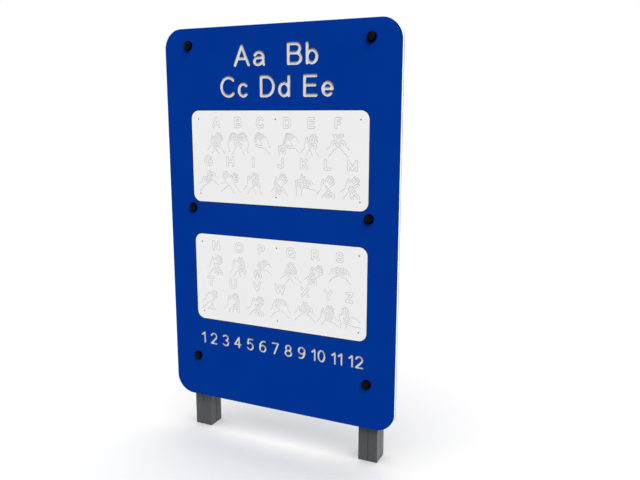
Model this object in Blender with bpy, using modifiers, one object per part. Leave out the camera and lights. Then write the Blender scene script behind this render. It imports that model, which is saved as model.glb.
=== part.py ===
# Sign panel on two posts: a board with two inset plates, bolted through grooved square posts.
# Metres. +X is to the right seen from the front, +Z is up, and the face looks along -Y.
# The origin is on the ground, centred under the panel. Left and right are seen from the front.

import math

import bmesh
import bpy
from mathutils import Matrix, Vector

# Board, one sheet of three-ply plastic
board_width = 1.000
board_height = 1.536
board_thickness = 0.022
board_corner_radius = 0.078
board_edge_round = 0.0008
ground_clearance = 0.150

# Plates, set into pockets in the board's face
side_margin = 0.115
heading_space = 0.316
plate_spacing = 0.131
foot_space = 0.349
plate_thickness = 0.006
plate_corner_radius = 0.035
plate_edge_round = 0.0004
plate_gap = 0.0012
plate_recess = 0.0003

# Countersunk screws that hold the plates
screw_inset = 0.035
screw_diameter = 0.0028
screw_head_diameter = 0.005
screw_head_edge = 0.0003
screw_tip_cover = 0.004

# Posts, hollow extrusions with a V groove down the middle of each face
post_size = 0.080
post_wall = 0.003
post_corner_radius = 0.003
post_inner_radius = 0.001
groove_width = 0.005
groove_depth = 0.0025
post_top_below_board = 0.026

# Plugs that close the posts' tops
plug_plate = 0.003
plug_edge_round = 0.001
plug_skirt = 0.018
plug_wall = 0.002

# Bolt rows, measured from the board's edges
bolt_inset = 0.113
bolt_low = 0.182
bolt_below_plate = 0.0235
bolt_below_top = 0.065

# Button head bolts and the sleeve nuts they screw into
bolt_diameter = 0.010
head_diameter = 0.0175
head_height = 0.0055
head_flat = 0.008
socket_width = 0.006
socket_depth = 0.003
sleeve_diameter = 0.013
sleeve_length = 0.030
sleeve_end = 0.004
thread_engagement = 0.018
hole_clearance = 0.0005

# Two-part covers over the bolt heads: a washer and a domed cap that snaps over it
cap_diameter = 0.037
cap_wall = 0.002
cap_headroom = 0.0017
cap_squareness = 4
washer_thickness = 0.0025
washer_chamfer = 0.0006
washer_play = 0.0009

# Gap that faces which touch keep to each other, and how far a cutter runs past what it cuts
seat = 0.0003
through = 0.005

# Fineness of round shapes, how close points are welded, and the angles in degrees that are
# shaded smooth and that are left without a rounded edge
corner_steps = 7
small_corner_steps = 3
turn_steps = 16
small_turn_steps = 10
dome_steps = 5
head_steps = 3
weld_distance = 0.00001
smooth_angle = 35
blunt_angle = 50

# Places that follow from the sizes
front = -(board_thickness + seat + post_size) / 2
board_rear = front + board_thickness
post_front = board_rear + seat
post_rear = post_front + post_size
post_middle = (post_front + post_rear) / 2
board_bottom = ground_clearance
board_top = board_bottom + board_height
board_middle = (board_bottom + board_top) / 2
plate_width = board_width - 2 * side_margin
plate_height = (board_height - heading_space - plate_spacing - foot_space) / 2
lower_plate_bottom = board_bottom + foot_space
upper_plate_bottom = lower_plate_bottom + plate_height + plate_spacing
plate_front = front + plate_recess
pocket_floor = plate_front + plate_thickness + seat
post_top = board_top - post_top_below_board
cap_height = seat + washer_thickness + head_height + cap_headroom + cap_wall
cap_inner_radius = cap_diameter / 2 - cap_wall
washer_radius = cap_inner_radius - washer_play
bolt_hole = bolt_diameter + 2 * hole_clearance
sleeve_hole = sleeve_diameter + 2 * hole_clearance
sides = {"left": -(board_width / 2 - bolt_inset), "right": board_width / 2 - bolt_inset}
levels = {
    "bottom": board_bottom + bolt_low,
    "middle": upper_plate_bottom - bolt_below_plate,
    "top": board_top - bolt_below_top,
}


def clear_scene():
    for item in list(bpy.data.objects):
        bpy.data.objects.remove(item)


def make_collection(name):
    collection = bpy.data.collections.new(name)
    bpy.context.scene.collection.children.link(collection)
    return collection


def make_material(name, colour, roughness, metallic=0.0):
    material = bpy.data.materials.new(name)
    material.use_nodes = True
    shader = material.node_tree.nodes["Principled BSDF"]
    shader.inputs["Base Color"].default_value = (*colour, 1.0)
    shader.inputs["Roughness"].default_value = roughness
    shader.inputs["Metallic"].default_value = metallic
    material.diffuse_color = (*colour, 1.0)
    return material


def rounded_rectangle(width, height, radius, steps):
    """Outline points of a rectangle with round corners, counter-clockwise and centred on the origin."""
    points = []
    for corner, (side_x, side_y) in enumerate(((1, 1), (-1, 1), (-1, -1), (1, -1))):
        centre_x = side_x * (width / 2 - radius)
        centre_y = side_y * (height / 2 - radius)
        for step in range(steps + 1):
            angle = math.radians(90) * (corner + step / steps)
            points.append((centre_x + radius * math.cos(angle), centre_y + radius * math.sin(angle)))
    return points


def post_outline(inset):
    """The post's section at a depth below its skin, the same at the grooves, so that walls are even."""
    half = post_size / 2 - inset
    radius = max(post_corner_radius - inset, post_inner_radius)
    flank = math.atan2(groove_depth, groove_width / 2)
    mouth = groove_width / 2 + inset * math.tan(flank / 2)
    bottom = post_size / 2 - groove_depth - inset / math.cos(flank)
    quarter = [Vector((half, -mouth)), Vector((bottom, 0)), Vector((half, mouth))]
    centre = Vector((half - radius, half - radius))
    for step in range(small_corner_steps + 1):
        angle = math.radians(90) * step / small_corner_steps
        quarter.append(centre + radius * Vector((math.cos(angle), math.sin(angle))))
    points = []
    for side in range(4):
        turn = Matrix.Rotation(math.radians(90) * side, 2)
        points += [tuple(turn @ point) for point in quarter]
    return points


def shade_round(mesh):
    """Smooth shading that leaves true corners sharp."""
    mesh.shade_smooth()
    mesh.set_sharp_from_angle(angle=math.radians(smooth_angle))


def flat_solid(name, outline, thickness, collection):
    """A closed mesh of an outline in XY, centred on its thickness."""
    curve = bpy.data.curves.new(name, "CURVE")
    curve.dimensions = "2D"
    curve.fill_mode = "BOTH"
    curve.extrude = thickness / 2
    spline = curve.splines.new("POLY")
    spline.points.add(len(outline) - 1)
    for point, (x, y) in zip(spline.points, outline):
        point.co = (x, y, 0, 1)
    spline.use_cyclic_u = True
    guide = bpy.data.objects.new(name + "_curve", curve)
    collection.objects.link(guide)
    bpy.context.view_layer.update()
    mesh = bpy.data.meshes.new_from_object(guide.evaluated_get(bpy.context.evaluated_depsgraph_get()))
    mesh.name = name
    solid = bpy.data.objects.new(name, mesh)
    solid.matrix_world = guide.matrix_world
    collection.objects.link(solid)
    bpy.data.objects.remove(guide)
    bpy.data.curves.remove(curve)
    shape = bmesh.new()
    shape.from_mesh(mesh)
    bmesh.ops.remove_doubles(shape, verts=shape.verts, dist=weld_distance)
    bmesh.ops.recalc_face_normals(shape, faces=shape.faces)
    shape.to_mesh(mesh)
    shape.free()
    shade_round(mesh)
    return solid


def hollow_solid(name, outer, inner, length, collection):
    """An extrusion whose section is the ring between two outlines that match point for point."""
    shape = bmesh.new()
    outside = [shape.verts.new((x, y, -length / 2)) for x, y in outer]
    inside = [shape.verts.new((x, y, -length / 2)) for x, y in inner]
    for index in range(len(outer)):
        shape.faces.new((outside[index - 1], outside[index], inside[index], inside[index - 1]))
    extruded = bmesh.ops.extrude_face_region(shape, geom=shape.faces[:])["geom"]
    far_end = [item for item in extruded if isinstance(item, bmesh.types.BMVert)]
    bmesh.ops.translate(shape, verts=far_end, vec=(0, 0, length))
    bmesh.ops.recalc_face_normals(shape, faces=shape.faces)
    mesh = bpy.data.meshes.new(name)
    shape.to_mesh(mesh)
    shape.free()
    shade_round(mesh)
    solid = bpy.data.objects.new(name, mesh)
    collection.objects.link(solid)
    return solid


def turned_solid(name, profile, steps, collection, closed=False):
    """Turns a profile of (radius, height) points round Z. It runs down the outer side, top to bottom."""
    mesh = bpy.data.meshes.new(name)
    edges = [(index, index + 1) for index in range(len(profile) - 1)]
    if closed:
        edges.append((len(profile) - 1, 0))
    mesh.from_pydata([(radius, 0, height) for radius, height in profile], edges, [])
    solid = bpy.data.objects.new(name, mesh)
    collection.objects.link(solid)
    screw = solid.modifiers.new("Turn", "SCREW")
    screw.steps = steps
    screw.render_steps = steps
    screw.use_merge_vertices = True
    screw.merge_threshold = weld_distance
    screw.use_smooth_shade = True
    return solid


def bevel(solid, width, segments=2):
    modifier = solid.modifiers.new("Rounded edges", "BEVEL")
    modifier.width = width
    modifier.segments = segments
    modifier.limit_method = "ANGLE"
    modifier.angle_limit = math.radians(blunt_angle)


def combine(solid, other, operation):
    modifier = solid.modifiers.new(other.name, "BOOLEAN")
    modifier.operation = operation
    modifier.solver = "EXACT"
    modifier.object = other


def fixed_mesh(solid):
    """The object's mesh as its modifiers leave it, for copies to share."""
    bpy.context.view_layer.update()
    mesh = bpy.data.meshes.new_from_object(solid.evaluated_get(bpy.context.evaluated_depsgraph_get()))
    shade_round(mesh)
    return mesh


def stand_upright(item, x, y, z):
    """Turns a shape drawn in its own XY plane to face -Y."""
    item.rotation_euler = (math.radians(90), 0, 0)
    item.location = (x, y, z)


def face_rear(item, x, y, z):
    item.rotation_euler = (math.radians(-90), 0, 0)
    item.location = (x, y, z)


def drill(name, places, diameter, start, end, steps):
    """One cutter with a round bar along Y at each (x, z) place, from start to end."""
    shape = bmesh.new()
    # A bar's flat, and not its corner, meets the bottom of a groove
    half_step = Matrix.Rotation(math.radians(180 / steps), 4, "Y")
    upright = half_step @ Matrix.Rotation(math.radians(90), 4, "X")
    for x, z in places:
        bmesh.ops.create_cone(
            shape,
            cap_ends=True,
            segments=steps,
            radius1=diameter / 2,
            radius2=diameter / 2,
            depth=end - start,
            matrix=Matrix.Translation((x, (start + end) / 2, z)) @ upright,
        )
    mesh = bpy.data.meshes.new(name)
    shape.to_mesh(mesh)
    shape.free()
    cutter = bpy.data.objects.new(name, mesh)
    cutters.objects.link(cutter)
    return cutter


def plate_places():
    return {
        "lower": lower_plate_bottom + plate_height / 2,
        "upper": upper_plate_bottom + plate_height / 2,
    }


def screw_places(plate_middle):
    """The six screws of a plate, three along its top and three along its bottom."""
    reach_x = plate_width / 2 - screw_inset
    reach_z = plate_height / 2 - screw_inset
    return {
        f"{row}_{column}": (side_x * reach_x, plate_middle + side_z * reach_z)
        for row, side_z in (("top", 1), ("bottom", -1))
        for column, side_x in (("left", -1), ("middle", 0), ("right", 1))
    }


def screw_profile(clearance, top, length):
    """Half section of a countersunk screw whose head ends at z = 0, or of its hole, wider by a clearance."""
    head = screw_head_diameter / 2 + clearance
    shank = screw_diameter / 2 + clearance
    cone_end = -screw_head_edge - (screw_head_diameter - screw_diameter) / 2
    return [(0, top), (head, top), (head, -screw_head_edge), (shank, cone_end),
            (shank, -length), (0, -length)]


def screw_length():
    return board_thickness - plate_recess - screw_tip_cover


def make_board(material):
    outline = rounded_rectangle(board_width, board_height, board_corner_radius, corner_steps)
    board = flat_solid("board", outline, board_thickness, parts)
    stand_upright(board, 0, front + board_thickness / 2, board_middle)
    bevel(board, board_edge_round, 1)
    bolt_places = [(x, z) for x in sides.values() for z in levels.values()]
    bolt_holes = drill("board_bolt_holes", bolt_places, bolt_hole,
                       front - through, board_rear + through, turn_steps)
    combine(board, bolt_holes, "DIFFERENCE")
    for name, middle in plate_places().items():
        depth = pocket_floor - front
        pocket = flat_solid(
            name + "_pocket",
            rounded_rectangle(plate_width + 2 * plate_gap, plate_height + 2 * plate_gap,
                              plate_corner_radius + plate_gap, corner_steps),
            2 * depth,
            cutters,
        )
        stand_upright(pocket, 0, front, middle)
        combine(board, pocket, "DIFFERENCE")
        pilot_end = plate_front + screw_length() + seat
        pilots = drill(name + "_pilot_holes", screw_places(middle).values(), screw_diameter + 2 * seat,
                       plate_front, pilot_end, small_turn_steps)
        combine(board, pilots, "DIFFERENCE")
    board.data.materials.append(material)


def make_plates(material):
    hole_profile = screw_profile(seat, through, plate_thickness + through)
    for name, middle in plate_places().items():
        outline = rounded_rectangle(plate_width, plate_height, plate_corner_radius, corner_steps)
        plate = flat_solid(name + "_plate", outline, plate_thickness, parts)
        stand_upright(plate, 0, plate_front + plate_thickness / 2, middle)
        bevel(plate, plate_edge_round, 1)
        for place, (x, z) in screw_places(middle).items():
            countersink = turned_solid(f"{name}_countersink_{place}", hole_profile, small_turn_steps, cutters)
            stand_upright(countersink, x, plate_front, z)
            combine(plate, countersink, "DIFFERENCE")
        plate.data.materials.append(material)


def make_plate_screws(material):
    profile = screw_profile(0, 0, screw_length())
    for name, middle in plate_places().items():
        for place, (x, z) in screw_places(middle).items():
            screw = turned_solid(f"{name}_screw_{place}", profile, small_turn_steps, parts)
            stand_upright(screw, x, plate_front, z)
            screw.data.materials.append(material)


def make_posts(material):
    for name, x in sides.items():
        post = hollow_solid(name + "_post", post_outline(0), post_outline(post_wall), post_top, parts)
        post.location = (x, post_middle, post_top / 2)
        places = [(x, z) for z in levels.values()]
        bolt_holes = drill(name + "_post_bolt_holes", places, bolt_hole,
                           post_front - through, post_middle, turn_steps)
        sleeve_holes = drill(name + "_post_sleeve_holes", places, sleeve_hole,
                             post_middle, post_rear + through, turn_steps)
        combine(post, bolt_holes, "DIFFERENCE")
        combine(post, sleeve_holes, "DIFFERENCE")
        post.data.materials.append(material)


def make_post_plugs(material):
    """A plug per post: a flat top as wide as the post and a hollow skirt that follows the post's inside."""
    fit = post_wall + seat
    skirt_length = plug_skirt + plug_plate / 2
    plate_centre = post_top + seat + plug_plate / 2
    for name, x in sides.items():
        outline = rounded_rectangle(post_size, post_size, post_corner_radius, small_corner_steps)
        plug = flat_solid(name + "_post_plug", outline, plug_plate, parts)
        plug.location = (x, post_middle, plate_centre)
        bevel(plug, plug_edge_round)
        skirt = hollow_solid(name + "_plug_skirt", post_outline(fit), post_outline(fit + plug_wall),
                             skirt_length, cutters)
        skirt.location = (x, post_middle, plate_centre - skirt_length / 2)
        combine(plug, skirt, "UNION")
        plug.data.materials.append(material)


def dome(radius, height, squareness, steps):
    """Points from the crown of a dome down to its rim, on a superellipse."""
    power = 2 / squareness
    points = [(0, height)]
    for step in range(1, steps):
        angle = math.radians(90) * (1 - step / steps)
        points.append((radius * math.cos(angle) ** power, height * math.sin(angle) ** power))
    return points + [(radius, 0)]


def button_head():
    """Half section of a button head that stands on z = 0, from its flat top down to its edge."""
    rim = (head_diameter - head_flat) / 2
    points = [(0, head_height)]
    for step in range(head_steps + 1):
        angle = math.radians(90) * step / head_steps
        points.append((head_flat / 2 + rim * math.sin(angle), head_height * math.cos(angle)))
    return points


def cut_socket(solid):
    """A hexagon socket in the top of a button head."""
    shape = bmesh.new()
    corner_radius = socket_width / 2 / math.cos(math.radians(30))
    bmesh.ops.create_cone(shape, cap_ends=True, segments=6, radius1=corner_radius, radius2=corner_radius,
                          depth=2 * socket_depth, matrix=Matrix.Translation((0, 0, head_height)))
    mesh = bpy.data.meshes.new(solid.name + "_socket")
    shape.to_mesh(mesh)
    shape.free()
    cutter = bpy.data.objects.new(mesh.name, mesh)
    cutters.objects.link(cutter)
    combine(solid, cutter, "DIFFERENCE")


def bolt_mesh():
    """A bolt along -Z under its head, whose underside is at z = 0."""
    head_seat = front - 2 * seat - washer_thickness
    sleeve_mouth = post_rear + 2 * seat + washer_thickness - sleeve_length
    length = sleeve_mouth + thread_engagement - head_seat
    shank = bolt_diameter / 2
    profile = button_head() + [(shank, 0), (shank, -length), (0, -length)]
    pattern = turned_solid("bolt_pattern", profile, turn_steps, cutters)
    cut_socket(pattern)
    return fixed_mesh(pattern)


def sleeve_nut_mesh():
    """A sleeve nut along -Z under its head: a barrel with a blind bore for the bolt's end."""
    outer = sleeve_diameter / 2
    bore = bolt_diameter / 2 + seat
    profile = button_head() + [(outer, 0), (outer, -sleeve_length), (bore, -sleeve_length),
                               (bore, -sleeve_end), (0, -sleeve_end)]
    pattern = turned_solid("sleeve_nut_pattern", profile, turn_steps, cutters)
    cut_socket(pattern)
    return fixed_mesh(pattern)


def washer_mesh(hole_diameter):
    hole = hole_diameter / 2
    top = washer_thickness
    profile = [(hole, top), (washer_radius - washer_chamfer, top), (washer_radius, top - washer_chamfer),
               (washer_radius, 0), (hole, 0)]
    pattern = turned_solid("washer_pattern", profile, turn_steps, cutters, closed=True)
    return fixed_mesh(pattern)


def cap_mesh():
    outside = dome(cap_diameter / 2, cap_height, cap_squareness, dome_steps)
    inside = dome(cap_inner_radius, cap_height - cap_wall, cap_squareness, dome_steps)
    pattern = turned_solid("cap_pattern", outside + inside[::-1], turn_steps, cutters)
    return fixed_mesh(pattern)


def place_copy(name, mesh, material, placing, x, y, z):
    item = bpy.data.objects.new(name, mesh)
    parts.objects.link(item)
    placing(item, x, y, z)
    if not mesh.materials:
        mesh.materials.append(material)


def make_fixings(steel, black):
    """Six through bolts, each with a sleeve nut behind the post and a covered washer at both ends."""
    bolt = bolt_mesh()
    sleeve_nut = sleeve_nut_mesh()
    front_washer = washer_mesh(bolt_hole)
    rear_washer = washer_mesh(sleeve_hole)
    cap = cap_mesh()
    for side, x in sides.items():
        for level, z in levels.items():
            place = f"{side}_{level}"
            place_copy("front_washer_" + place, front_washer, black, stand_upright, x, front - seat, z)
            place_copy("front_cap_" + place, cap, black, stand_upright, x, front - seat, z)
            place_copy("bolt_" + place, bolt, steel, stand_upright, x, front - 2 * seat - washer_thickness, z)
            place_copy("rear_washer_" + place, rear_washer, black, face_rear, x, post_rear + seat, z)
            place_copy("rear_cap_" + place, cap, black, face_rear, x, post_rear + seat, z)
            place_copy("sleeve_nut_" + place, sleeve_nut, steel, face_rear, x,
                       post_rear + 2 * seat + washer_thickness, z)


clear_scene()
parts = make_collection("Sign panel")
cutters = make_collection("Cutters")
make_board(make_material("Blue plastic sheet", (0.001, 0.033, 0.275), 0.45))
make_plates(make_material("White plastic sheet", (0.83, 0.83, 0.83), 0.5))
make_plate_screws(make_material("Blackened steel", (0.02, 0.02, 0.02), 0.4, 1.0))
make_posts(make_material("Grey powder coat", (0.125, 0.13, 0.14), 0.5))
make_post_plugs(make_material("Grey moulded plastic", (0.06, 0.06, 0.065), 0.5))
make_fixings(
    make_material("Stainless steel", (0.6, 0.6, 0.6), 0.3, 1.0),
    make_material("Black moulded plastic", (0.012, 0.012, 0.012), 0.35),
)
for helper in cutters.objects:
    helper.hide_render = True
    helper.display_type = "WIRE"
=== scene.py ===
import math

import bmesh
import bpy
from mathutils import Matrix, Vector
from mathutils.geometry import delaunay_2d_cdt
from mathutils.kdtree import KDTree


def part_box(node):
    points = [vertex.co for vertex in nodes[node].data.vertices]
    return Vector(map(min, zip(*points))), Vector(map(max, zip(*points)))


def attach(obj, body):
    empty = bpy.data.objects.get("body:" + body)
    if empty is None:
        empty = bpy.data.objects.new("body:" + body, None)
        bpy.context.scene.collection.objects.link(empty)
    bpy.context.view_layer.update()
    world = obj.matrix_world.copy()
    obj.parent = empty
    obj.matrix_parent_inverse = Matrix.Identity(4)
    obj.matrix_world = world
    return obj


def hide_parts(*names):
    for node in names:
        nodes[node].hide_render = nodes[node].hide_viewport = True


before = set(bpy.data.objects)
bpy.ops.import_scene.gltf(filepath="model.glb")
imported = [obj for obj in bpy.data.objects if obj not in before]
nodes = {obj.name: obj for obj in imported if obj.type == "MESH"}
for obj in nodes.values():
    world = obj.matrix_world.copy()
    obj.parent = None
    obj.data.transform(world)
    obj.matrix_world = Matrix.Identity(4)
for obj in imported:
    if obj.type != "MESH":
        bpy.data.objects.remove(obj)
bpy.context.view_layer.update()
mm = 0.001
print("frame loaded:", len(nodes), "nodes")


# Materials

def hexColour(code):  # sRGB hex to the linear values that a shader takes
    parts = [int(code[i:i + 2], 16) / 255 for i in (0, 2, 4)]
    return [c / 12.92 if c <= 0.04045 else ((c + 0.055) / 1.055) ** 2.4 for c in parts] + [1.0]


def addNode(tree, kind, settings=None, links=None):  # one node, with its settings and what feeds it
    node = tree.nodes.new(kind)
    for key, value in (settings or {}).items():
        if isinstance(key, int) or key in node.inputs:
            node.inputs[key].default_value = value
        else:
            setattr(node, key, value)
    for key, source in (links or {}).items():
        tree.links.new(source, node.inputs[key])
    return node


def newMaterial(name, settings):  # a Principled material, and its tree, shader and Object coordinates
    material = bpy.data.materials.new(name)
    material.use_nodes = True
    tree = material.node_tree
    shader = tree.nodes["Principled BSDF"]
    for key, value in settings.items():
        shader.inputs[key].default_value = value
    place = addNode(tree, "ShaderNodeTexCoord").outputs["Object"]
    return material, tree, shader, place


def noise(tree, place, size, detail=2.0):  # clouds that lie about size mm apart
    return addNode(tree, "ShaderNodeTexNoise", {"Scale": 1 / (size * mm), "Detail": detail},
                   {"Vector": place}).outputs["Fac"]


def addBump(tree, shader, height, distance, strength):  # the distance is in mm
    settings = {"Strength": strength, "Distance": distance * mm}
    bump = addNode(tree, "ShaderNodeBump", settings, {"Height": height})
    tree.links.new(bump.outputs["Normal"], shader.inputs["Normal"])


def blended(tree, factor, spread, shades):  # from one shade to the other while the factor crosses the spread
    ramp = addNode(tree, "ShaderNodeValToRGB", links={"Fac": factor})
    for element, position, code in zip(ramp.color_ramp.elements, spread, shades):
        element.position = position
        element.color = hexColour(code)
    return ramp.outputs["Color"]


def depthOf(tree, place):  # how far back a point lies
    return addNode(tree, "ShaderNodeSeparateXYZ", links={"Vector": place}).outputs["Y"]


def within(tree, value, start, end):  # 1 where a value lies between two places, 0 elsewhere
    middle, reach = (start + end) / 2, (end - start) / 2
    settings = {"operation": "COMPARE", 1: middle, 2: reach}
    return addNode(tree, "ShaderNodeMath", settings, {0: value}).outputs[0]


mixSockets = {"colours": (6, 7), "result": 2}  # of a mix node that is set to colours


def layered(tree, under, over, mask):  # a colour laid over another where the mask says
    mixed = addNode(tree, "ShaderNodeMix", {"data_type": "RGBA"}, {"Factor": mask})
    for socket, colour in zip(mixSockets["colours"], (under, over)):
        if isinstance(colour, str):
            mixed.inputs[socket].default_value = hexColour(colour)
        else:
            tree.links.new(colour, mixed.inputs[socket])
    return mixed.outputs[mixSockets["result"]]


# In each finish, grain, peel and cloud are the mm between clouds of noise, bump is its distance in mm and
# its strength, spread is where the noise goes from the first shade to the second, and shader holds the
# settings of the Principled shader.

# Three-ply polyethylene sheet, pressed against fine-grained plates: a dull blue skin with a faint
# pebble grain over a white core, which shows wherever the router or the saw went through the skin
sheetFinish = {
    "skins": (3.0, 4.5),  # mm at the face and at the rear, which is drawn thicker so that its line shows
    "blues": ("003390", "003594"), "spread": (0.35, 0.65), "cloud": 1000 / 6,
    "core": "E4E4E6",
    "grain": 2.5,         # the real 0.8 mm would not show, so it is drawn coarser
    "bump": (0.1, 0.5),
    "shader": {"Roughness": 0.6, "IOR": 1.51, "Specular IOR Level": 0.02},
}


def polyethyleneSheet():
    material, tree, shader, place = newMaterial("three ply polyethylene", sheetFinish["shader"])
    low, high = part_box("board")
    skin, rearSkin = (thickness * mm for thickness in sheetFinish["skins"])
    core = within(tree, depthOf(tree, place), low.y + skin, high.y - rearSkin)
    cloud = noise(tree, place, sheetFinish["cloud"], detail=3.0)
    blue = blended(tree, cloud, sheetFinish["spread"], sheetFinish["blues"])
    tree.links.new(layered(tree, blue, sheetFinish["core"], core), shader.inputs["Base Color"])
    addBump(tree, shader, noise(tree, place, sheetFinish["grain"]), *sheetFinish["bump"])
    return material


# White polyethylene plate: dead matte. The cut lines are painted a soft grey, a painted shade that stands in
# for the shade in their narrow grooves
plateFinish = {
    "white": "F3F3F3", "line": "7C7C7E",
    "lineFrom": 0.2,  # mm below the face
    "grain": 2.0, "bump": (0.05, 0.5),
    "shader": {"Roughness": 0.6, "IOR": 1.51, "Specular IOR Level": 0.2},
}


def whitePlate():
    material, tree, shader, place = newMaterial("white polyethylene", plateFinish["shader"])
    low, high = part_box("upper_plate")
    # Painted shade: whatever lies deeper than lineFrom, the cut lines' walls and floors, is painted a soft
    # grey
    lineShadeMask = within(tree, depthOf(tree, place), low.y + plateFinish["lineFrom"] * mm, high.y)
    colour = layered(tree, plateFinish["white"], plateFinish["line"], lineShadeMask)
    tree.links.new(colour, shader.inputs["Base Color"])
    addBump(tree, shader, noise(tree, place, plateFinish["grain"]), *plateFinish["bump"])
    return material


# Painted shade: brownish, uneven and without any shine, it stands in for the shade in narrow recesses. The
# lighter shade is painted on the walls of the routed lines, and the darker one fills the narrow gap round
# each plate.
paintedShadeFinish = {
    "painted groove shade": ("665E54", "7F776C"), "painted gap shade": ("221E18", "36312A"),
    "spread": (0.35, 0.65), "grain": 1.5, "bump": (0.1, 0.5),
    "shader": {"Roughness": 0.9, "Specular IOR Level": 0.1},
}


def paintedShadeLayer(name):
    material, tree, shader, place = newMaterial(name, paintedShadeFinish["shader"])
    cloud = noise(tree, place, paintedShadeFinish["grain"], detail=3.0)
    tree.links.new(blended(tree, cloud, paintedShadeFinish["spread"], paintedShadeFinish[name]), shader.inputs["Base Color"])
    addBump(tree, shader, cloud, *paintedShadeFinish["bump"])
    return material


# Powder-coated aluminium: dark grey with an orange peel and a slight speckle, and painted shade in the side
# grooves
coatFinish = {
    "greys": ("3D3F44", "47494E"), "spread": (0.4, 0.6),
    # painted shade in the side grooves
    "grooveShade": "292A2D",
    "groove": 1.6,  # mm that the painted shade reaches to each side of a groove's middle
    "peel": 3.0,    # the real 1 mm would not show, so it is drawn coarser
    "bump": (0.1, 0.6),
    "shader": {"Roughness": 0.35, "IOR": 1.5},
}


def powderCoat():
    material, tree, shader, place = newMaterial("powder coated aluminium", coatFinish["shader"])
    low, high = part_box("left_post")
    middle, groove = (low.y + high.y) / 2, coatFinish["groove"] * mm
    peel = noise(tree, place, coatFinish["peel"])
    coat = blended(tree, peel, coatFinish["spread"], coatFinish["greys"])
    # Painted shade in the side grooves of the posts
    inGroove = within(tree, depthOf(tree, place), middle - groove, middle + groove)
    tree.links.new(layered(tree, coat, coatFinish["grooveShade"], inGroove), shader.inputs["Base Color"])
    addBump(tree, shader, peel, *coatFinish["bump"])
    return material


# Materials of a single colour
plainFinishes = {
    # Injection-moulded nylon: near black. The mould is polished at the domes' crowns, which carry a soft
    # highlight, and spark eroded at their sides, which stay matt
    "polished nylon": {
        "colour": "020202", "grain": 1.5, "detail": 2.0, "bump": (0.02, 0.4),
        "shader": {"Roughness": 0.36, "IOR": 1.53, "Specular IOR Level": 0.055},
    },
    "matt nylon": {
        "colour": "020202", "grain": 1.5, "detail": 2.0, "bump": (0.02, 0.4),
        "shader": {"Roughness": 0.7, "IOR": 1.53, "Specular IOR Level": 0.008},
    },
    # Injection-moulded polypropylene: a dull mid grey
    "moulded polypropylene": {
        "colour": "4A4A4D", "grain": 1.5, "detail": 2.0, "bump": (0.03, 0.4),
        "shader": {"Roughness": 0.55, "IOR": 1.49},
    },
    # Turned stainless steel: bright, with the fine marks of the lathe tool
    "turned stainless steel": {
        "colour": "C9C8C5", "grain": 0.8, "detail": 3.0, "bump": (0.01, 0.4),
        "shader": {"Roughness": 0.3, "Metallic": 1.0},
    },
    # Blackened steel: dark and slightly oily
    "blackened steel": {
        "colour": "2A2A2C", "grain": 0.6, "detail": 3.0, "bump": (0.01, 0.4),
        "shader": {"Roughness": 0.45, "Metallic": 1.0},
    },
}


def plainMaterial(name):
    finish = plainFinishes[name]
    material, tree, shader, place = newMaterial(name, finish["shader"])
    shader.inputs["Base Color"].default_value = hexColour(finish["colour"])
    addBump(tree, shader, noise(tree, place, finish["grain"], finish["detail"]), *finish["bump"])
    return material


sheetPlastic = polyethyleneSheet()
platePlastic = whitePlate()
# Painted shade for the walls of the routed lines and for the gap round each plate
grooveWallShade = paintedShadeLayer("painted groove shade")
plateGapShade = paintedShadeLayer("painted gap shade")
greyCoat = powderCoat()
polishedNylon = plainMaterial("polished nylon")
mattNylon = plainMaterial("matt nylon")
greyPlastic = plainMaterial("moulded polypropylene")
stainless = plainMaterial("turned stainless steel")
blackSteel = plainMaterial("blackened steel")


def materialOf(name):
    if name == "board":
        return sheetPlastic
    if name.endswith("_plate"):
        return platePlastic
    if name.endswith("_post"):
        return greyCoat
    if name.endswith("_plug"):
        return greyPlastic
    if name.startswith(("bolt_", "sleeve_nut_")):
        return stainless
    if "_screw_" in name:
        return blackSteel
    return mattNylon


for name in nodes:
    slots = nodes[name].data.materials
    slots.clear()
    slots.append(materialOf(name))
print("materials made")


# Strokes of letters and numbers, as the path of the cutter's middle. One unit is the height of a capital
# between its top and bottom paths, and an arc is (centre x, centre y, radius x, radius y, from, to) in
# degrees.
arcStep = 10  # degrees


def along(*parts):  # a path through points and arcs
    path = []
    for part in parts:
        if len(part) == 2:
            path.append(part)
            continue
        x, y, rx, ry, start, end = part
        steps = max(2, round(abs(end - start) / arcStep))
        for i in range(steps + 1):
            angle = math.radians(start + (end - start) * i / steps)
            path.append((x + rx * math.cos(angle), y + ry * math.sin(angle)))
    return path


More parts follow.
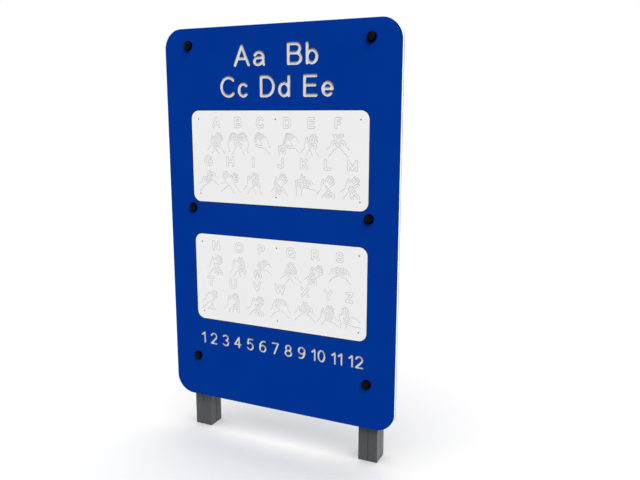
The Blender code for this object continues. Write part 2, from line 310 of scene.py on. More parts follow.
strokes = {
    "A": [along((0, 0), (0.43, 1), (0.86, 0)), along((0.15, 0.34), (0.71, 0.34))],
    "B": [along((0, 0), (0, 1), (0.4, 1), (0.44, 0.765, 0.24, 0.235, 90, -90), (0, 0.53)),
          along((0.4, 0.53), (0.46, 0.265, 0.28, 0.265, 90, -90), (0, 0))],
    "C": [along((0.45, 0.5, 0.45, 0.5, 45, 315))],
    "D": [along((0, 0), (0, 1), (0.28, 1), (0.3, 0.5, 0.46, 0.5, 90, -90), (0, 0))],
    "E": [along((0.68, 0), (0, 0), (0, 1), (0.66, 1)), along((0, 0.53), (0.6, 0.53))],
    "F": [along((0, 0), (0, 1), (0.6, 1)), along((0, 0.52), (0.5, 0.52))],
    "G": [along((0.46, 0.5, 0.46, 0.5, 45, 320), (0.9, 0.22), (0.9, 0.46), (0.54, 0.46))],
    "H": [along((0, 0), (0, 1)), along((0.8, 0), (0.8, 1)), along((0, 0.52), (0.8, 0.52))],
    "I": [along((0, 0), (0, 1))],
    "J": [along((0.56, 1), (0.56, 0.35), (0.28, 0.29, 0.28, 0.29, 0, -170))],
    "K": [along((0, 0), (0, 1)), along((0.74, 1), (0, 0.36)), along((0.27, 0.59), (0.78, 0))],
    "L": [along((0, 1), (0, 0), (0.6, 0))],
    "M": [along((0, 0), (0, 1), (0.48, 0.06), (0.96, 1), (0.96, 0))],
    "N": [along((0, 0), (0, 1), (0.8, 0), (0.8, 1))],
    "O": [along((0.48, 0.5, 0.48, 0.5, 0, 360))],
    "P": [along((0, 0), (0, 1), (0.4, 1), (0.42, 0.725, 0.28, 0.275, 90, -90), (0, 0.45))],
    "Q": [along((0.48, 0.5, 0.48, 0.5, 0, 360)), along((0.56, 0.26), (0.94, -0.06))],
    "R": [along((0, 0), (0, 1), (0.42, 1), (0.46, 0.74, 0.27, 0.26, 90, -90), (0, 0.48)),
          along((0.42, 0.48), (0.78, 0))],
    "S": [along((0.37, 0.745, 0.34, 0.255, 25, 265), (0.38, 0.245, 0.37, 0.245, 85, -155))],
    "T": [along((0, 1), (0.84, 1)), along((0.42, 1), (0.42, 0))],
    "U": [along((0, 1), (0, 0.4), (0.39, 0.36, 0.39, 0.36, 180, 360), (0.78, 1))],
    "V": [along((0, 1), (0.43, 0), (0.86, 1))],
    "W": [along((0, 1), (0.29, 0), (0.59, 0.94), (0.89, 0), (1.18, 1))],
    "X": [along((0, 0), (0.82, 1)), along((0, 1), (0.82, 0))],
    "Y": [along((0, 1), (0.42, 0.45), (0.84, 1)), along((0.42, 0.45), (0.42, 0))],
    "Z": [along((0.03, 1), (0.76, 1), (0, 0), (0.78, 0))],
    "a": [along((0.28, 0.4, 0.27, 0.24, 155, 0), (0.55, 0.08), (0.58, 0)),
          along((0.55, 0.36), (0.2, 0.175, 0.2, 0.175, 90, 270), (0.34, 0.02), (0.55, 0.17))],
    "b": [along((0, 0), (0, 1)), along((0.28, 0.32, 0.28, 0.32, 0, 360))],
    "c": [along((0.27, 0.32, 0.27, 0.32, 45, 315))],
    "d": [along((0.56, 0), (0.56, 1)), along((0.28, 0.32, 0.28, 0.32, 0, 360))],
    "e": [along((0.01, 0.33), (0.55, 0.33), (0.28, 0.32, 0.27, 0.32, 0, 315))],
    "0": [along((0.3, 0.5, 0.3, 0.5, 0, 360))],
    "1": [along((0, 0.76), (0.28, 1), (0.28, 0))],
    "2": [along((0.3, 0.71, 0.29, 0.29, 165, -35), (0, 0), (0.6, 0))],
    "3": [along((0.28, 0.755, 0.26, 0.245, 150, -85), (0.28, 0.255, 0.3, 0.255, 85, -150))],
    "4": [along((0.46, 0), (0.46, 1), (0, 0.3), (0.64, 0.3))],
    "5": [along((0.56, 1), (0.12, 1), (0.05, 0.54), (0.29, 0.32, 0.31, 0.32, 120, -150))],
    "6": [along((0.31, 0.3, 0.3, 0.3, 0, 360)), along((0.42, 0.42, 0.41, 0.58, 195, 70))],
    "7": [along((0, 1), (0.6, 1), (0.18, 0))],
    "8": [along((0.31, 0.75, 0.25, 0.25, 0, 360)), along((0.31, 0.255, 0.31, 0.255, 0, 360))],
    "9": [along((0.31, 0.7, 0.3, 0.3, 0, 360)), along((0.2, 0.58, 0.41, 0.58, 15, -110))],
}


def glyphWidth(glyph):
    return max(x for path in strokes[glyph] for x, _ in path)


def glyphPaths(glyph, height, left, baseline):  # the glyph's paths with its left path at left, in metres
    return [[(left + x * height, baseline + y * height) for x, y in path] for path in strokes[glyph]]


def linePaths(text, height, cutter, gap, left, right, baseline):
    # A line of text whose outer edges lie at left and right. The spaces take what the glyphs leave.
    widths = [glyphWidth(c) * height + cutter for c in text if c != " "]
    gaps = sum(gap for a, b in zip(text, text[1:]) if " " not in (a, b))
    space = (right - left - sum(widths) - gaps) / max(1, text.count(" "))
    paths, x = [], left
    for i, c in enumerate(text):
        if c == " ":
            x += space
            continue
        paths += glyphPaths(c, height, x + cutter / 2, baseline + cutter / 2)
        x += glyphWidth(c) * height + cutter
        if i + 1 < len(text) and text[i + 1] != " ":
            x += gap
    return paths


# Routing: a round cutter follows each path. Its tracks are cut out of a sheet's face, all in one plan.
endSteps = {"text": 12, "letter": 8, "line": 4}  # in the half circle at a track's end


def runsOf(path, sharpest=30, most=120):
    # A path split at its corners, and wherever it has turned far enough, both in degrees
    runs, run, turned = [], [path[0]], 0
    for before, here, after in zip(path, path[1:], path[2:]):
        run.append(here)
        turn = math.degrees((Vector(here) - Vector(before)).angle(Vector(after) - Vector(here)))
        turned += turn
        if turn > sharpest or turned > most:
            runs.append(run)
            run, turned = [here], 0
    return runs + [run + [path[-1]]]


def roundEnd(middle, ahead, radius, steps):
    start = math.atan2(ahead.y, ahead.x) - math.pi / 2
    angles = [start + math.pi * i / steps for i in range(1, steps)]
    return [middle + radius * Vector((math.cos(a), math.sin(a))) for a in angles]


def trackOf(run, cutter, steps):  # outline of the track that the cutter leaves along a run
    points = [Vector(p) for p in run]
    legs = [(b - a).normalized() for a, b in zip(points, points[1:])]
    left, right = [], []
    for i, point in enumerate(points):
        before, after = legs[max(i - 1, 0)], legs[min(i, len(legs) - 1)]
        ahead = (before + after).normalized()
        cosine = max(0.5, ahead.dot(after))  # the sides move out at a bend, so that the track stays as wide
        side = Vector((-ahead.y, ahead.x)) * cutter / 2 / cosine
        left.append(point + side)
        right.append(point - side)
    return (right + roundEnd(points[-1], legs[-1], cutter / 2, steps)
            + left[::-1] + roundEnd(points[0], -legs[0], cutter / 2, steps))


def tracksOf(paths, cutter, steps):
    return [trackOf(run, cutter, steps) for path in paths for run in runsOf(path)]


def planOf(outlines):  # triangles of a flat plan, each with the kinds of outline that it lies in
    points, loops, kinds = [], [], []
    for kind, outline in outlines:
        loops.append(list(range(len(points), len(points) + len(outline))))
        points += [Vector(p) / mm for p in outline]
        kinds.append(kind)
    insideOnly = 1  # no triangles outside the outlines
    merge = 0.0001  # mm. Closer points become one
    places, _, triangles, _, _, sources = delaunay_2d_cdt(points, [], loops, insideOnly, merge)
    return [p * mm for p in places], triangles, [{kinds[i] for i in found} for found in sources]


def contoursOf(tracks):  # the outer and inner contours of overlapping tracks
    places, triangles, kinds = planOf([("track", track) for track in tracks])
    cut = [t for t, kind in zip(triangles, kinds) if kind]
    sides = {side for t in cut for side in ((t[0], t[1]), (t[1], t[2]), (t[2], t[0]))}
    after = {a: b for a, b in sorted(sides) if (b, a) not in sides}
    contours = []
    while after:
        first = here = min(after)
        loop = []
        while here in after:
            loop.append(places[here])
            here = after.pop(here)
        contours.append(loop + [places[first]])
    return contours


def thinned(path, least):  # the path without points that lie closer together than least
    kept = [path[0]]
    for point in path[1:-1]:
        if (Vector(point) - Vector(kept[-1])).length > least:
            kept.append(point)
    return kept + [path[-1]]


# Sheets: a face plan with cut regions, sunk to their depths, and rounded edges all round

def roundedOutline(low, high, radius, steps, grow=0.0):  # of a node's front, counter-clockwise in x and z
    outline = []
    for corner, (x, z) in enumerate(((high.x, high.z), (low.x, high.z), (low.x, low.z), (high.x, low.z))):
        inX = x + radius * (-1 if x > low.x else 1)
        inZ = z + radius * (-1 if z > low.z else 1)
        for i in range(steps + 1):
            angle = math.radians(90) * (corner + i / steps)
            reach = radius + grow
            outline.append((inX + reach * math.cos(angle), inZ + reach * math.sin(angle)))
    return outline


def beyond(point, low, high, radius):
    # How a point lies out past the centres of a rounded rectangle's corners
    middle, half = (low + high) / 2, (high - low) / 2
    x, z = point.x - middle.x, point.z - middle.z
    return Vector((max(0, abs(x) - half.x + radius) * math.copysign(1, x), 0,
                   max(0, abs(z) - half.z + radius) * math.copysign(1, z)))


def sink(bm, faces, depth, wall):  # pushes a region of the face straight in, between walls of a material
    sunk = bmesh.ops.extrude_face_region(bm, geom=faces)["geom"]
    points = [g for g in sunk if isinstance(g, bmesh.types.BMVert)]
    floor = {g for g in sunk if isinstance(g, bmesh.types.BMFace)}
    bmesh.ops.translate(bm, verts=points, vec=(0, depth, 0))
    bmesh.ops.delete(bm, geom=faces, context="FACES")
    for point in points:
        for face in point.link_faces:
            if face not in floor:
                face.material_index = wall


def growEdges(bm, edges):  # extrudes edges and gives the new edges and points
    new = bmesh.ops.extrude_edge_only(bm, edges=edges)["geom"]
    return ([g for g in new if isinstance(g, bmesh.types.BMEdge)],
            [g for g in new if isinstance(g, bmesh.types.BMVert)])


edgeRules = {
    "smooth": 35,   # degrees. A sharper edge stays sharp
    "flat": 0.999,  # a face counts as flat when its normal lies at least this much along y
}


def makePiece(name, bm, materials, stands, flatFaces=False):
    # A finished piece that stands for CAD nodes. With flatFaces, the rim of a flat face stays sharp, so
    # that no shade spreads over it.
    bmesh.ops.recalc_face_normals(bm, faces=bm.faces)
    bm.normal_update()
    for face in bm.faces:
        face.smooth = True
    for edge in bm.edges:
        flat = {abs(face.normal.y) > edgeRules["flat"] for face in edge.link_faces}
        rim = flatFaces and len(flat) > 1
        edge.smooth = edge.calc_face_angle(0) < math.radians(edgeRules["smooth"]) and not rim
    mesh = bpy.data.meshes.new(name)
    bm.to_mesh(mesh)
    bm.free()
    for material in materials:
        mesh.materials.append(material)
    piece = bpy.data.objects.new(name, mesh)
    bpy.context.scene.collection.objects.link(piece)
    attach(piece, "root")
    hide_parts(*stands)
    return piece


def makeSheet(name, node, sizes, cuts, depths, materials, sides=0):
    # depths gives each kind of cut its depth and the number of its walls' material, and sides is the
    # number of the material of the sheet's own sides
    low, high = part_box(node)
    radius, edgeRound = sizes["corner"] * mm, sizes["edgeRound"] * mm
    rim = roundedOutline(low, high, radius, sizes["cornerSteps"], grow=-edgeRound)
    places, triangles, regions = planOf([("face", rim)] + cuts)
    bm = bmesh.new()
    points = [bm.verts.new((p.x, low.y, p.y)) for p in places]
    groups = {kind: [] for kind in depths}
    for corners, kinds in zip(triangles, regions):
        if "hole" in kinds:
            continue
        face = bm.faces.new([points[i] for i in corners])
        for kind in depths:
            if kind in kinds:
                groups[kind].append(face)
    bmesh.ops.delete(bm, geom=[v for v in bm.verts if not v.link_faces], context="VERTS")
    edge = [e for e in bm.edges
            if e.is_boundary and beyond(e.verts[0].co, low, high, radius).length > radius / 2]
    for kind, (depth, wall) in depths.items():
        sink(bm, groups[kind], depth, wall)
    holes = [e for e in bm.edges if e.is_boundary and e not in edge]
    # The rim turns over its front and rear edges in a few small steps, in units of the edge's radius
    roundSteps = sizes["roundSteps"]
    turns = [math.radians(90) * i / roundSteps for i in range(roundSteps + 1)]
    thickness = (high.y - low.y) / edgeRound
    steps = [(math.sin(a), 1 - math.cos(a)) for a in turns[1:]]
    steps += [(math.cos(a), thickness - 1 + math.sin(a)) for a in turns]
    done = 0
    for out, back in steps:
        edge, moved = growEdges(bm, edge)
        for v in moved:
            v.co += beyond(v.co, low, high, radius).normalized() * (out - done) * edgeRound
            v.co.y = low.y + back * edgeRound
        for face in {face for e in edge for face in e.link_faces}:
            face.material_index = sides
        done = out
    if holes:
        holes, moved = growEdges(bm, holes)
        for v in moved:
            v.co.y = high.y
    bmesh.ops.triangle_fill(bm, use_beauty=True, edges=edge + holes)
    return makePiece(name, bm, materials, [node], flatFaces=True)


# The board: bolt holes, two pockets for the plates, and the heading and foot line, routed through the skin.
# Sizes are mm, and a line is its words, its left and right end from the board's left edge, and its baseline
# below the board's top edge.
boardSizes = {
    "corner": 78, "cornerSteps": 20, "edgeRound": 0.8, "roundSteps": 3,
    "plateCorner": 35, "plateCornerSteps": 12,
    "plateGap": 0.6,  # round a plate in its pocket
    "seat": 0.3,      # behind a plate in its pocket
    "boltHole": 11, "holeSteps": 32,
}
heading = {
    "cutter": 13, "capital": 83.5, "gap": 12.5, "depth": 3.6,
    "lines": [("Aa Bb", 320, 681.5, 152), ("Cc Dd Ee", 256, 743.5, 268.5)],
}
footLine = {
    "cutter": 8, "capital": 52.5, "gap": 7.5, "depth": 3.4,
    "lines": [("1 2 3 4 5 6 7 8 9 10 11 12", 131, 872.5, 1296)],
}


def circle(x, z, radius, steps):
    angles = [math.radians(360) * i / steps for i in range(steps)]
    return [(x + radius * math.cos(a), z + radius * math.sin(a)) for a in angles]


def textTracks(text):
    low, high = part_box("board")
    cutter = text["cutter"] * mm
    paths = []
    for words, left, right, baseline in text["lines"]:
        paths += linePaths(words, (text["capital"] - text["cutter"]) * mm, cutter, text["gap"] * mm,
                           low.x + left * mm, low.x + right * mm, high.z - baseline * mm)
    return tracksOf(paths, cutter, endSteps["text"])


def makeBoard():
    low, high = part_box("board")
    cuts = []
    for plate in ("upper_plate", "lower_plate"):
        plateLow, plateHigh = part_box(plate)
        pocket = roundedOutline(plateLow, plateHigh, boardSizes["plateCorner"] * mm,
                                boardSizes["plateCornerSteps"], grow=boardSizes["plateGap"] * mm)
        pocketDepth = plateHigh.y + boardSizes["seat"] * mm - low.y
        cuts.append(("pocket", pocket))
    for name in nodes:
        if name.startswith("bolt_"):
            middle = sum(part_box(name), Vector()) / 2
            hole = circle(middle.x, middle.z, boardSizes["boltHole"] / 2 * mm, boardSizes["holeSteps"])
            cuts.append(("hole", hole))
    cuts += [("heading", track) for track in textTracks(heading)]
    cuts += [("foot", track) for track in textTracks(footLine)]
    # The walls of the routed heading and foot line take the lighter painted shade, and the pockets' walls
    # the darker one
    depths = {
        "heading": (heading["depth"] * mm, 1),
        "foot": (footLine["depth"] * mm, 1),
        "pocket": (pocketDepth, 2),
    }
    return makeSheet("routed_board", "board", boardSizes, cuts, depths, [sheetPlastic, grooveWallShade, plateGapShade])


board = makeBoard()
print("board routed:", len(board.data.polygons), "faces")


# Hands: a sign is one or two hands of rounded shapes, laid from back to front, and only the outlines that
# stay in sight are cut. Sizes are mm on a hand that points up, with its wrist at (0, 0) and its thumb on
# the right.
handSizes = {
    "cutter": 1.05,
    "scale": 1.42,
    "frame": (47, 42, 46),  # lines end this far to the sides of the sign's middle, above it and below it
    "headroom": 2,          # between the top of a sign and the top of its frame
    "least": 3.0,           # a shorter piece of line is left out
    "clear": 3.2,           # a line keeps this distance from those in front of it
    "beside": 2.2,          # a fingertip that meets another finger's stays this far beside it
    "arm": [(-10.5, -40), (-8.2, -14), (8.2, -14), (10.5, -40)],
    "palm": [(-7.2, -5), (-7.0, 0), (-9.8, 7), (-10.4, 15), (-9.8, 21), (-5, 23.5), (4, 24.2), (9.4, 22),
             (10.2, 15), (9.6, 8), (7.4, 2), (7.2, -5)],
    "thick": 2.6, "tip": 2.1, "thumbThick": 3.4, "thumbTip": 2.5, "tipSteps": 6,
}
fingers = {  # knuckle, length and spread in degrees
    "little": ((-7.6, 19.5), 15.5, 12), "ring": ((-2.7, 21.5), 19.5, 4),
    "middle": ((2.3, 22), 21.5, -3), "index": ((7.3, 20.5), 19, -10),
}
closeness = 5  # straight fingers spread this many times less than open ones
bends = {  # points measured from the knuckle. A folded finger is seen as one short bar over the palm
    "folded": [(0, 3.5), (0.4, -9.5)],
    "hooked": [(0, 0), (1, 10), (5, 14), (9, 8.5)],
    "looped": [(0, 0), (4, 9.5), (11, 9), (13.5, 1)],
}
curved = {"index": 0, "middle": 3.6, "ring": 6.8, "little": 9}  # how far out a curved finger lies
thumbs = {
    "open": [(6.5, 3), (12.5, 11), (17.5, 21)], "straight": [(6.5, 3), (11, 10), (13.2, 21)],
    "folded": [(4.5, 2), (10.5, 9), (8.5, 16), (1, 17.5)], "looped": [(6.5, 3), (14, 9), (20, 18)],
    "curved": [(6, 3), (13, 7), (21, 12), (27, 19)],
}
ways = {"o": "open", "s": "straight", "f": "folded", "h": "hooked", "c": "curved", "l": "looped"}
poses = {  # little, ring, middle and index finger, then the thumb, by the first letters of their ways
    "open": "ooooo", "flat": "sssss", "point": "fffsf", "two": "ffssf", "three": "fsssf", "vee": "ffoof",
    "fist": "fffff", "curve": "ccccc", "ring": "fffll", "rings": "cccll", "hook": "fffhf", "small": "hffff",
}
spots = {"palm": (1, 13), "edge": (-10.5, 9), "crook": (12.5, 15.5), "joint": (9.5, 33), "bend": (12.5, 35),
         "low thumb": (13, 8)}
still = ("open", -1, -38, 0, "wrist", (0, 0))
# Each sign's hands from back to front: pose, side of the thumb, turn, turn of the arm, what touches, and
# what it touches
signs = {
    "A": [still, ("point", 1, 42, -8, "index", "thumb")],
    "B": [("rings", 1, 4, -38, "wrist", (-21, 0)), ("rings", -1, -4, -38, "wrist", (21, 0))],
    "C": [("curve", -1, 30, -14, "wrist", (0, 0))],
    "D": [("point", 1, 0, 0, "wrist", (0, 0)), ("curve", -1, 34, -10, "middle", "index")],
    "E": [still, ("point", 1, 14, 10, "index", "index")],
    "F": [("two", -1, -45, 0, "wrist", (-16, 0)), ("two", 1, 45, 0, "wrist", (16, 0))],
    "G": [("fist", -1, -50, 0, "wrist", (-19, -7)), ("fist", 1, 58, 0, "wrist", (19, 8))],
    "H": [("open", -1, -58, 0, "wrist", (0, 0)), ("flat", 1, 38, 0, "palm", "palm")],
    "I": [still, ("point", 1, 10, 14, "index", "middle")],
    "J": [still, ("point", 1, 50, -10, "index", "low thumb")],
    "K": [("point", 1, 0, 0, "wrist", (0, 0)), ("hook", 1, 72, 0, "bend", "joint")],
    "L": [still, ("point", 1, 40, 0, "index", "palm")],
    "M": [("open", -1, -48, 0, "wrist", (0, 0)), ("three", 1, 30, 0, "middle", "palm")],
    "N": [("open", -1, -48, 0, "wrist", (0, 0)), ("two", 1, 30, 0, "middle", "palm")],
    "O": [still, ("point", 1, 6, 18, "index", "ring")],
    "P": [("point", 1, 0, 0, "wrist", (0, 0)), ("ring", -1, 48, 0, "thumb", "joint")],
    "Q": [("ring", -1, -45, 0, "wrist", (0, 0)), ("hook", 1, 45, 0, "index", "thumb")],
    "R": [("open", -1, -48, 0, "wrist", (0, 0)), ("hook", 1, 30, 0, "index", "palm")],
    "S": [("small", -1, -50, 0, "wrist", (-22, 0)), ("small", 1, 50, 0, "wrist", (22, 0))],
    "T": [("flat", -1, -52, 0, "wrist", (0, 0)), ("point", 1, 24, 0, "index", "edge")],
    "U": [still, ("point", 1, -4, 26, "index", "little")],
    "V": [("open", -1, -48, 0, "wrist", (0, 0)), ("vee", 1, 30, 0, "middle", "palm")],
    "W": [("open", -1, -50, 0, "wrist", (-20, 0)), ("open", 1, 50, 0, "wrist", (20, 0))],
    "X": [("point", -1, -50, 0, "wrist", (-20, 0)), ("point", 1, 50, 0, "wrist", (20, 0))],
    "Y": [still, ("point", 1, 68, -10, "index", "crook")],
    "Z": [("flat", -1, -8, 0, "wrist", (0, 0)), ("flat", 1, 78, 0, "middle", "palm")],
}


def turned(point, degrees, side=1):
    return Matrix.Rotation(math.radians(degrees), 2) @ Vector((side * point[0], point[1]))


def smoothed(points, rounds=2):  # corners cut off, both ends kept
    for _ in range(rounds):
        pairs = list(zip(points, points[1:]))
        points = [points[0]] + [a.lerp(b, t) for a, b in pairs for t in (0.25, 0.75)] + [points[-1]]
    return points


def fingerPath(finger, way):  # the middle of a finger, from its knuckle to its tip
    if finger == "thumb":
        return [Vector(p) for p in thumbs[way]]
    knuckle, length, spread = fingers[finger]
    knuckle = Vector(knuckle)
    if way in bends:
        mirror = -1 if way == "hooked" and finger == "little" else 1
        return [knuckle + Vector((x * mirror, y)) for x, y in bends[way]]
    if way == "curved":  # the fingers share an arch over the thumb, each a little further out
        out = curved[finger]
        steps = [(8.5 - out, 30 + out), (15 - out / 2, 37 + out), (25 - out / 4, 29 + out)]
        return [knuckle] + [Vector(step) for step in steps]
    return [knuckle, knuckle + turned((0, length), spread if way == "open" else spread / closeness)]


def fingerOutline(path, thick, tip, whole):
    points = smoothed(path)
    left, right = [], []
    for i, point in enumerate(points):
        ahead = (points[min(i + 1, len(points) - 1)] - points[max(i - 1, 0)]).normalized()
        side = Vector((-ahead.y, ahead.x)) * (thick + (tip - thick) * i / (len(points) - 1))
        left.append(point + side)
        right.append(point - side)
    steps = handSizes["tipSteps"]
    outline = right + roundEnd(points[-1], ahead, tip, steps) + left[::-1]
    if whole:
        outline += roundEnd(points[0], points[0] - points[1], thick, steps) + [right[0]]
    return outline


def fingerWays(pose):
    return dict(zip([*fingers, "thumb"], (ways[letter] for letter in poses[pose])))


def handShapes(pose, side, turn, armTurn):
    # Outlines from back to front, the palm first, and whether each runs into the palm
    arm = [turned(p, armTurn) for p in handSizes["arm"]]
    palm = [Vector(p) for p in handSizes["palm"]]
    shapes = [(smoothed(arm[:2] + palm + arm[2:]), False)]
    for finger, way in fingerWays(pose).items():
        thick, tip = ("thumbThick", "thumbTip") if finger == "thumb" else ("thick", "tip")
        outline = fingerOutline(fingerPath(finger, way), handSizes[thick], handSizes[tip],
                                way == "folded" and finger != "thumb")
        shapes.append((outline, way != "folded"))
    return [([turned(p, turn, side) for p in outline], joined) for outline, joined in shapes]


def spotOf(hand, spot):  # a finger's tip, or a place on the hand
    pose, side, turn = hand
    if spot == "wrist":
        return Vector((0, 0))
    place = spots[spot] if spot in spots else fingerPath(spot, fingerWays(pose)[spot])[-1]
    return turned(place, turn, side)


def boxOf(outline):  # its left, right, bottom and top
    across, up = [p.x for p in outline], [p.y for p in outline]
    return min(across), max(across), min(up), max(up)


def covered(point, cover):  # whether a point lies in an outline, which comes with its box
    outline, (left, right, bottom, top) = cover
    if not (left < point.x < right and bottom < point.y < top):
        return False
    odd = False
    for a, b in zip(outline, outline[1:] + outline[:1]):
        if (a.y > point.y) != (b.y > point.y):
            if point.x < a.x + (point.y - a.y) / (b.y - a.y) * (b.x - a.x):
                odd = not odd
    return odd


def dense(path, step=0.5):
    points = [path[0]]
    for a, b in zip(path, path[1:]):
        count = max(1, round((b - a).length / step))
        points += [a.lerp(b, (i + 1) / count) for i in range(count)]
    return points


def straightened(line, bend=7, longest=8):  # only the points where a line has turned, or gone far
    kept, ahead = [line[0]], line[1] - line[0]
    for here, after in zip(line[1:], line[2:]):
        if ahead.angle(after - here) > math.radians(bend) or (here - kept[-1]).length > longest:
            kept.append(here)
            ahead = after - here
    return kept + [line[-1]]


def placedHands(letter):  # the shapes of each hand, where they touch as the sign says
    hands, first = [], None
    for pose, side, turn, armTurn, touching, touched in signs[letter]:
        hand = (pose, side, turn)
        if first is None or touching == "wrist":
            goal = Vector(touched)
        else:
            goal = first[1] + spotOf(first[0], touched)
            if touched not in spots:
                goal -= turned((0, handSizes["beside"]), turn)
        place = goal - spotOf(hand, touching)
        first = first or (hand, place)
        shapes = handShapes(pose, side, turn, armTurn)
        hands.append([([p + place for p in outline], joined) for outline, joined in shapes])
    return hands


def framedShapes(hands):  # all shapes at full size about the sign's middle, each with the number of its hand
    left, right, _, top = boxOf([p for hand in hands for outline, _ in hand[1:] for p in outline])
    scale, above = handSizes["scale"], handSizes["frame"][1]
    middle = Vector(((left + right) / 2, top - (above - handSizes["headroom"]) / scale))
    return [([(p - middle) * scale for p in outline], joined, i)
            for i, hand in enumerate(hands) for outline, joined in hand]


def signLines(letter):  # the lines that stay in sight, found from the front shape to the back one
    hands = placedHands(letter)
    shapes = framedShapes(hands)
    wide, above, below = handSizes["frame"]
    covers = [(outline, boxOf(outline)) for outline, _, _ in shapes]
    palms = covers[::len(hands[0])]
    lines, drawn = [], []
    for number, (outline, joined, i) in reversed(list(enumerate(shapes))):
        over = covers[number + 1:] + ([palms[i]] if joined else [])
        near = KDTree(len(drawn))
        for j, point in enumerate(drawn):
            near.insert(point.to_3d(), j)
        near.balance()
        line = []
        for point in dense(outline) + [None]:
            if (point and abs(point.x) < wide and -below < point.y < above
                    and not near.find_range(point.to_3d(), handSizes["clear"])
                    and not any(covered(point, cover) for cover in over)):
                line.append(point)
                continue
            if len(line) > 2 and (line[-1] - line[0]).length > handSizes["least"]:
                lines.append(straightened(line))
                drawn += line
            line = []
    return lines


# The plates: letters drawn by a fine cutter that runs round their outlines, and a sign under each.
# Rows are mm below a plate's top edge and letters mm from its left edge.
plateSizes = {
    "corner": 35, "cornerSteps": 12, "edgeRound": 2.2, "roundSteps": 2,
    "screwHole": 5.6, "holeSteps": 24, "screwInset": 35,
}
letters = {
    "cutter": 1.0, "depth": 0.8, "stroke": 9, "capital": 41,
    "least": 0.4,  # between two points of an outline
    "rows": (68.5, 221.5), "signRows": (127, 281),
    "upper_plate": [("ABCDEF", (119, 218.5, 317.5, 436, 537, 646.5)),
                    ("GHIJKLM", (76.5, 179.5, 285, 406.5, 507, 605, 704))],
    "lower_plate": [("NOPQRS", (101.5, 211.5, 315, 447.5, 554, 656)),
                    ("TUVWXYZ", (72.5, 180.5, 293.5, 398.5, 509, 608.5, 697))],
}


def letterPaths(plate):
    low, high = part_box(plate)
    height = (letters["capital"] - letters["stroke"]) * mm
    paths = []
    for (row, centres), below in zip(letters[plate], letters["rows"]):
        for glyph, centre in zip(row, centres):
            left = low.x + centre * mm - glyphWidth(glyph) * height / 2
            baseline = high.z - below * mm + letters["stroke"] / 2 * mm
            middles = glyphPaths(glyph, height, left, baseline)
            body = tracksOf(middles, letters["stroke"] * mm, endSteps["letter"])
            paths += [thinned(contour, letters["least"] * mm) for contour in contoursOf(body)]
    return paths


def signPaths(plate):
    low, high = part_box(plate)
    return [[(low.x + (centre + p.x) * mm, high.z - (below - p.y) * mm) for p in line]
            for (row, centres), below in zip(letters[plate], letters["signRows"])
            for letter, centre in zip(row, centres) for line in signLines(letter)]


def makePlate(node):
    low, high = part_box(node)
    cuts = []
    for paths, cutter in ((letterPaths(node), letters["cutter"]), (signPaths(node), handSizes["cutter"])):
        cuts += [("line", track) for track in tracksOf(paths, cutter * mm, endSteps["line"])]
    inset, radius = plateSizes["screwInset"] * mm, plateSizes["screwHole"] / 2 * mm
    for z in (low.z + inset, high.z - inset):
        for x in (low.x + inset, (low.x + high.x) / 2, high.x - inset):
            cuts.append(("hole", circle(x, z, radius, plateSizes["holeSteps"])))
    depths = {"line": (letters["depth"] * mm, 0)}
    # The plate's rounded edge and sides take the darker painted shade of the gap round it
    return makeSheet("engraved_" + node, node, plateSizes, cuts, depths, [platePlastic, plateGapShade],
                     sides=1)


for node in ("upper_plate", "lower_plate"):
    plate = makePlate(node)
    print("plate engraved:", node, len(plate.data.polygons), "faces")


# Bolt covers: a domed cap that is turned from its profile, a rounded drum with a crowned top. Sizes are mm.
capSizes = {
    "wall": 2.0, "crown": 3.0,
    "squareness": 4,  # 2 would be an ellipse
    "polished": 2.6,  # the polish reaches this far below the top
    "ringSteps": 48, "domeSteps": 18,
    "merge": 0.01,    # closer points become one
}


def domeProfile(radius, height):
    power, crown, steps = 2 / capSizes["squareness"], capSizes["crown"] * mm, capSizes["domeSteps"]
    profile = []
    for i in range(steps + 1):
        angle = math.radians(90) * (1 - i / steps)
        out = math.cos(angle) ** power if i else 0.0
        up = math.sin(angle) ** power
        profile.append((radius * out, (height - crown) * up + crown * (1 - out ** 2)))
    return profile


def makeCap(node):
    low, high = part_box(node)
    middle = (low + high) / 2
    outwardY = -1 if node.startswith("front") else 1
    base = high.y if outwardY < 0 else low.y
    radius, height, wall = (high.x - low.x) / 2, high.y - low.y, capSizes["wall"] * mm
    outside, inside = domeProfile(radius, height), domeProfile(radius - wall, height - wall)
    bm = bmesh.new()
    ring = [bm.verts.new((middle.x + r, base + outwardY * y, middle.z)) for r, y in outside + inside[::-1]]
    profile = [bm.edges.new(pair) for pair in zip(ring, ring[1:])]
    bmesh.ops.spin(bm, geom=ring + profile, axis=(0, 1, 0), cent=(middle.x, base, middle.z),
                   angle=math.radians(360), steps=capSizes["ringSteps"], use_merge=True)
    bmesh.ops.remove_doubles(bm, verts=bm.verts, dist=capSizes["merge"] * mm)
    for face in bm.faces:
        below = height - outwardY * (face.calc_center_median().y - base)
        face.material_index = int(below > capSizes["polished"] * mm)
    return makePiece(node.replace("cap", "dome"), bm, [polishedNylon, mattNylon], [node])


for node in sorted(nodes):
    if node.startswith(("front_cap_", "rear_cap_")):
        makeCap(node)
print("caps turned")


# Stage: a white floor that only the object's shadow darkens, soft studio light and the camera

stageColours = {"floor": "FCFCFC", "bounce": "787878"}  # as the camera sees it, and as it lights the object
floorReach = 30  # metres from the middle


def seenByCamera(tree):  # 1 for what the camera sees, itself or mirrored, and 0 for what only lights
    path = addNode(tree, "ShaderNodeLightPath")
    seen = addNode(tree, "ShaderNodeMath", {"operation": "MAXIMUM"},
                   {0: path.outputs["Is Camera Ray"], 1: path.outputs["Is Glossy Ray"]})
    return seen.outputs[0]


def whiteStage():
    material, tree, shader, _ = newMaterial("studio floor", {"Roughness": 0.9, "Specular IOR Level": 0.0})
    colour = layered(tree, stageColours["bounce"], stageColours["floor"], seenByCamera(tree))
    tree.links.new(colour, shader.inputs["Base Color"])
    return material


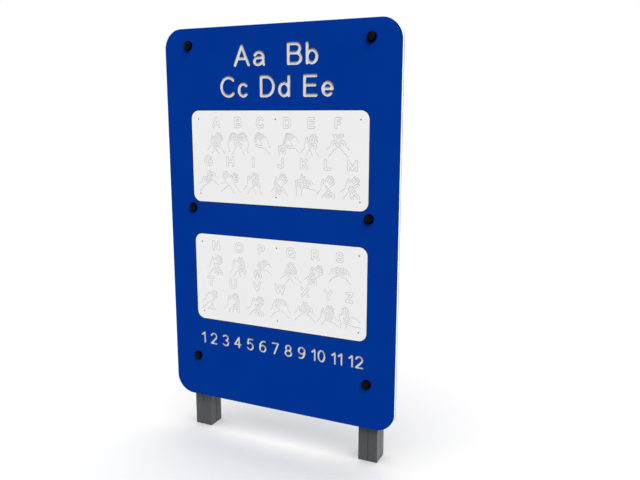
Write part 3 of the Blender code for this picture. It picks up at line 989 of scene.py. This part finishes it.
def makeStage():
    bm = bmesh.new()
    bmesh.ops.create_grid(bm, x_segments=1, y_segments=1, size=floorReach)
    mesh = bpy.data.meshes.new("floor")
    bm.to_mesh(mesh)
    bm.free()
    mesh.materials.append(whiteStage())
    floor = bpy.data.objects.new("floor", mesh)
    bpy.context.scene.collection.objects.link(floor)
    return floor


# The key and the back light leave the floor alone, and the dome lights nothing but the floor, so that the
# floor carries one soft shadow
lamps = {
    "key": {"towards": (0.46, -0.39, 0.79), "strength": 5.8, "spread": 45, "floor": "EXCLUDE"},
    "back": {"towards": (0.35, 0.64, 0.68), "strength": 1.8, "spread": 90, "floor": "EXCLUDE"},
    "dome": {"towards": (0, 0, 1), "strength": 2.8, "spread": 100, "floor": "INCLUDE"},
}
skyLight = 0.22  # the white surroundings light the object only this much


def makeLights(floor):
    for name, values in lamps.items():
        lamp = bpy.data.lights.new(name, "SUN")
        lamp.energy = values["strength"]
        lamp.angle = math.radians(values["spread"])
        light = bpy.data.objects.new(name, lamp)
        light.rotation_euler = Vector(values["towards"]).to_track_quat("Z", "Y").to_euler()
        bpy.context.scene.collection.objects.link(light)
        lit = bpy.data.collections.new(name + " on floor")
        lit.objects.link(floor)
        lit.collection_objects[0].light_linking.link_state = values["floor"]
        light.light_linking.receiver_collection = lit
    sky = bpy.data.worlds.new("studio")
    bpy.context.scene.world = sky
    sky.use_nodes = True
    tree = sky.node_tree
    tree.nodes.clear()
    strength = addNode(tree, "ShaderNodeMapRange", {"To Min": skyLight, "To Max": 1.0},
                       {"Value": seenByCamera(tree)})
    light = addNode(tree, "ShaderNodeBackground", {"Color": (1, 1, 1, 1)}, {"Strength": strength.outputs[0]})
    addNode(tree, "ShaderNodeOutputWorld", links={"Surface": light.outputs[0]})


# The camera's place and aim were solved from the board's corners and straight edges
view = {
    "place": (1.2222, -2.3085, 1.3498), "turn": 24.598, "tilt": 79.33, "roll": 0.097,
    "lens": 37.19, "sensor": 36,
}


def makeCamera():
    camera = bpy.data.objects.new("camera", bpy.data.cameras.new("camera"))
    camera.data.lens = view["lens"]
    camera.data.sensor_width = view["sensor"]
    aim = Matrix.Translation(view["place"])
    for angle, axis in (("turn", "Z"), ("tilt", "X"), ("roll", "Z")):
        aim = aim @ Matrix.Rotation(math.radians(view[angle]), 4, axis)
    camera.matrix_world = aim
    bpy.context.scene.collection.objects.link(camera)
    bpy.context.scene.camera = camera


makeLights(makeStage())
makeCamera()
bpy.context.scene.view_settings.view_transform = "Standard"
print("stage set")
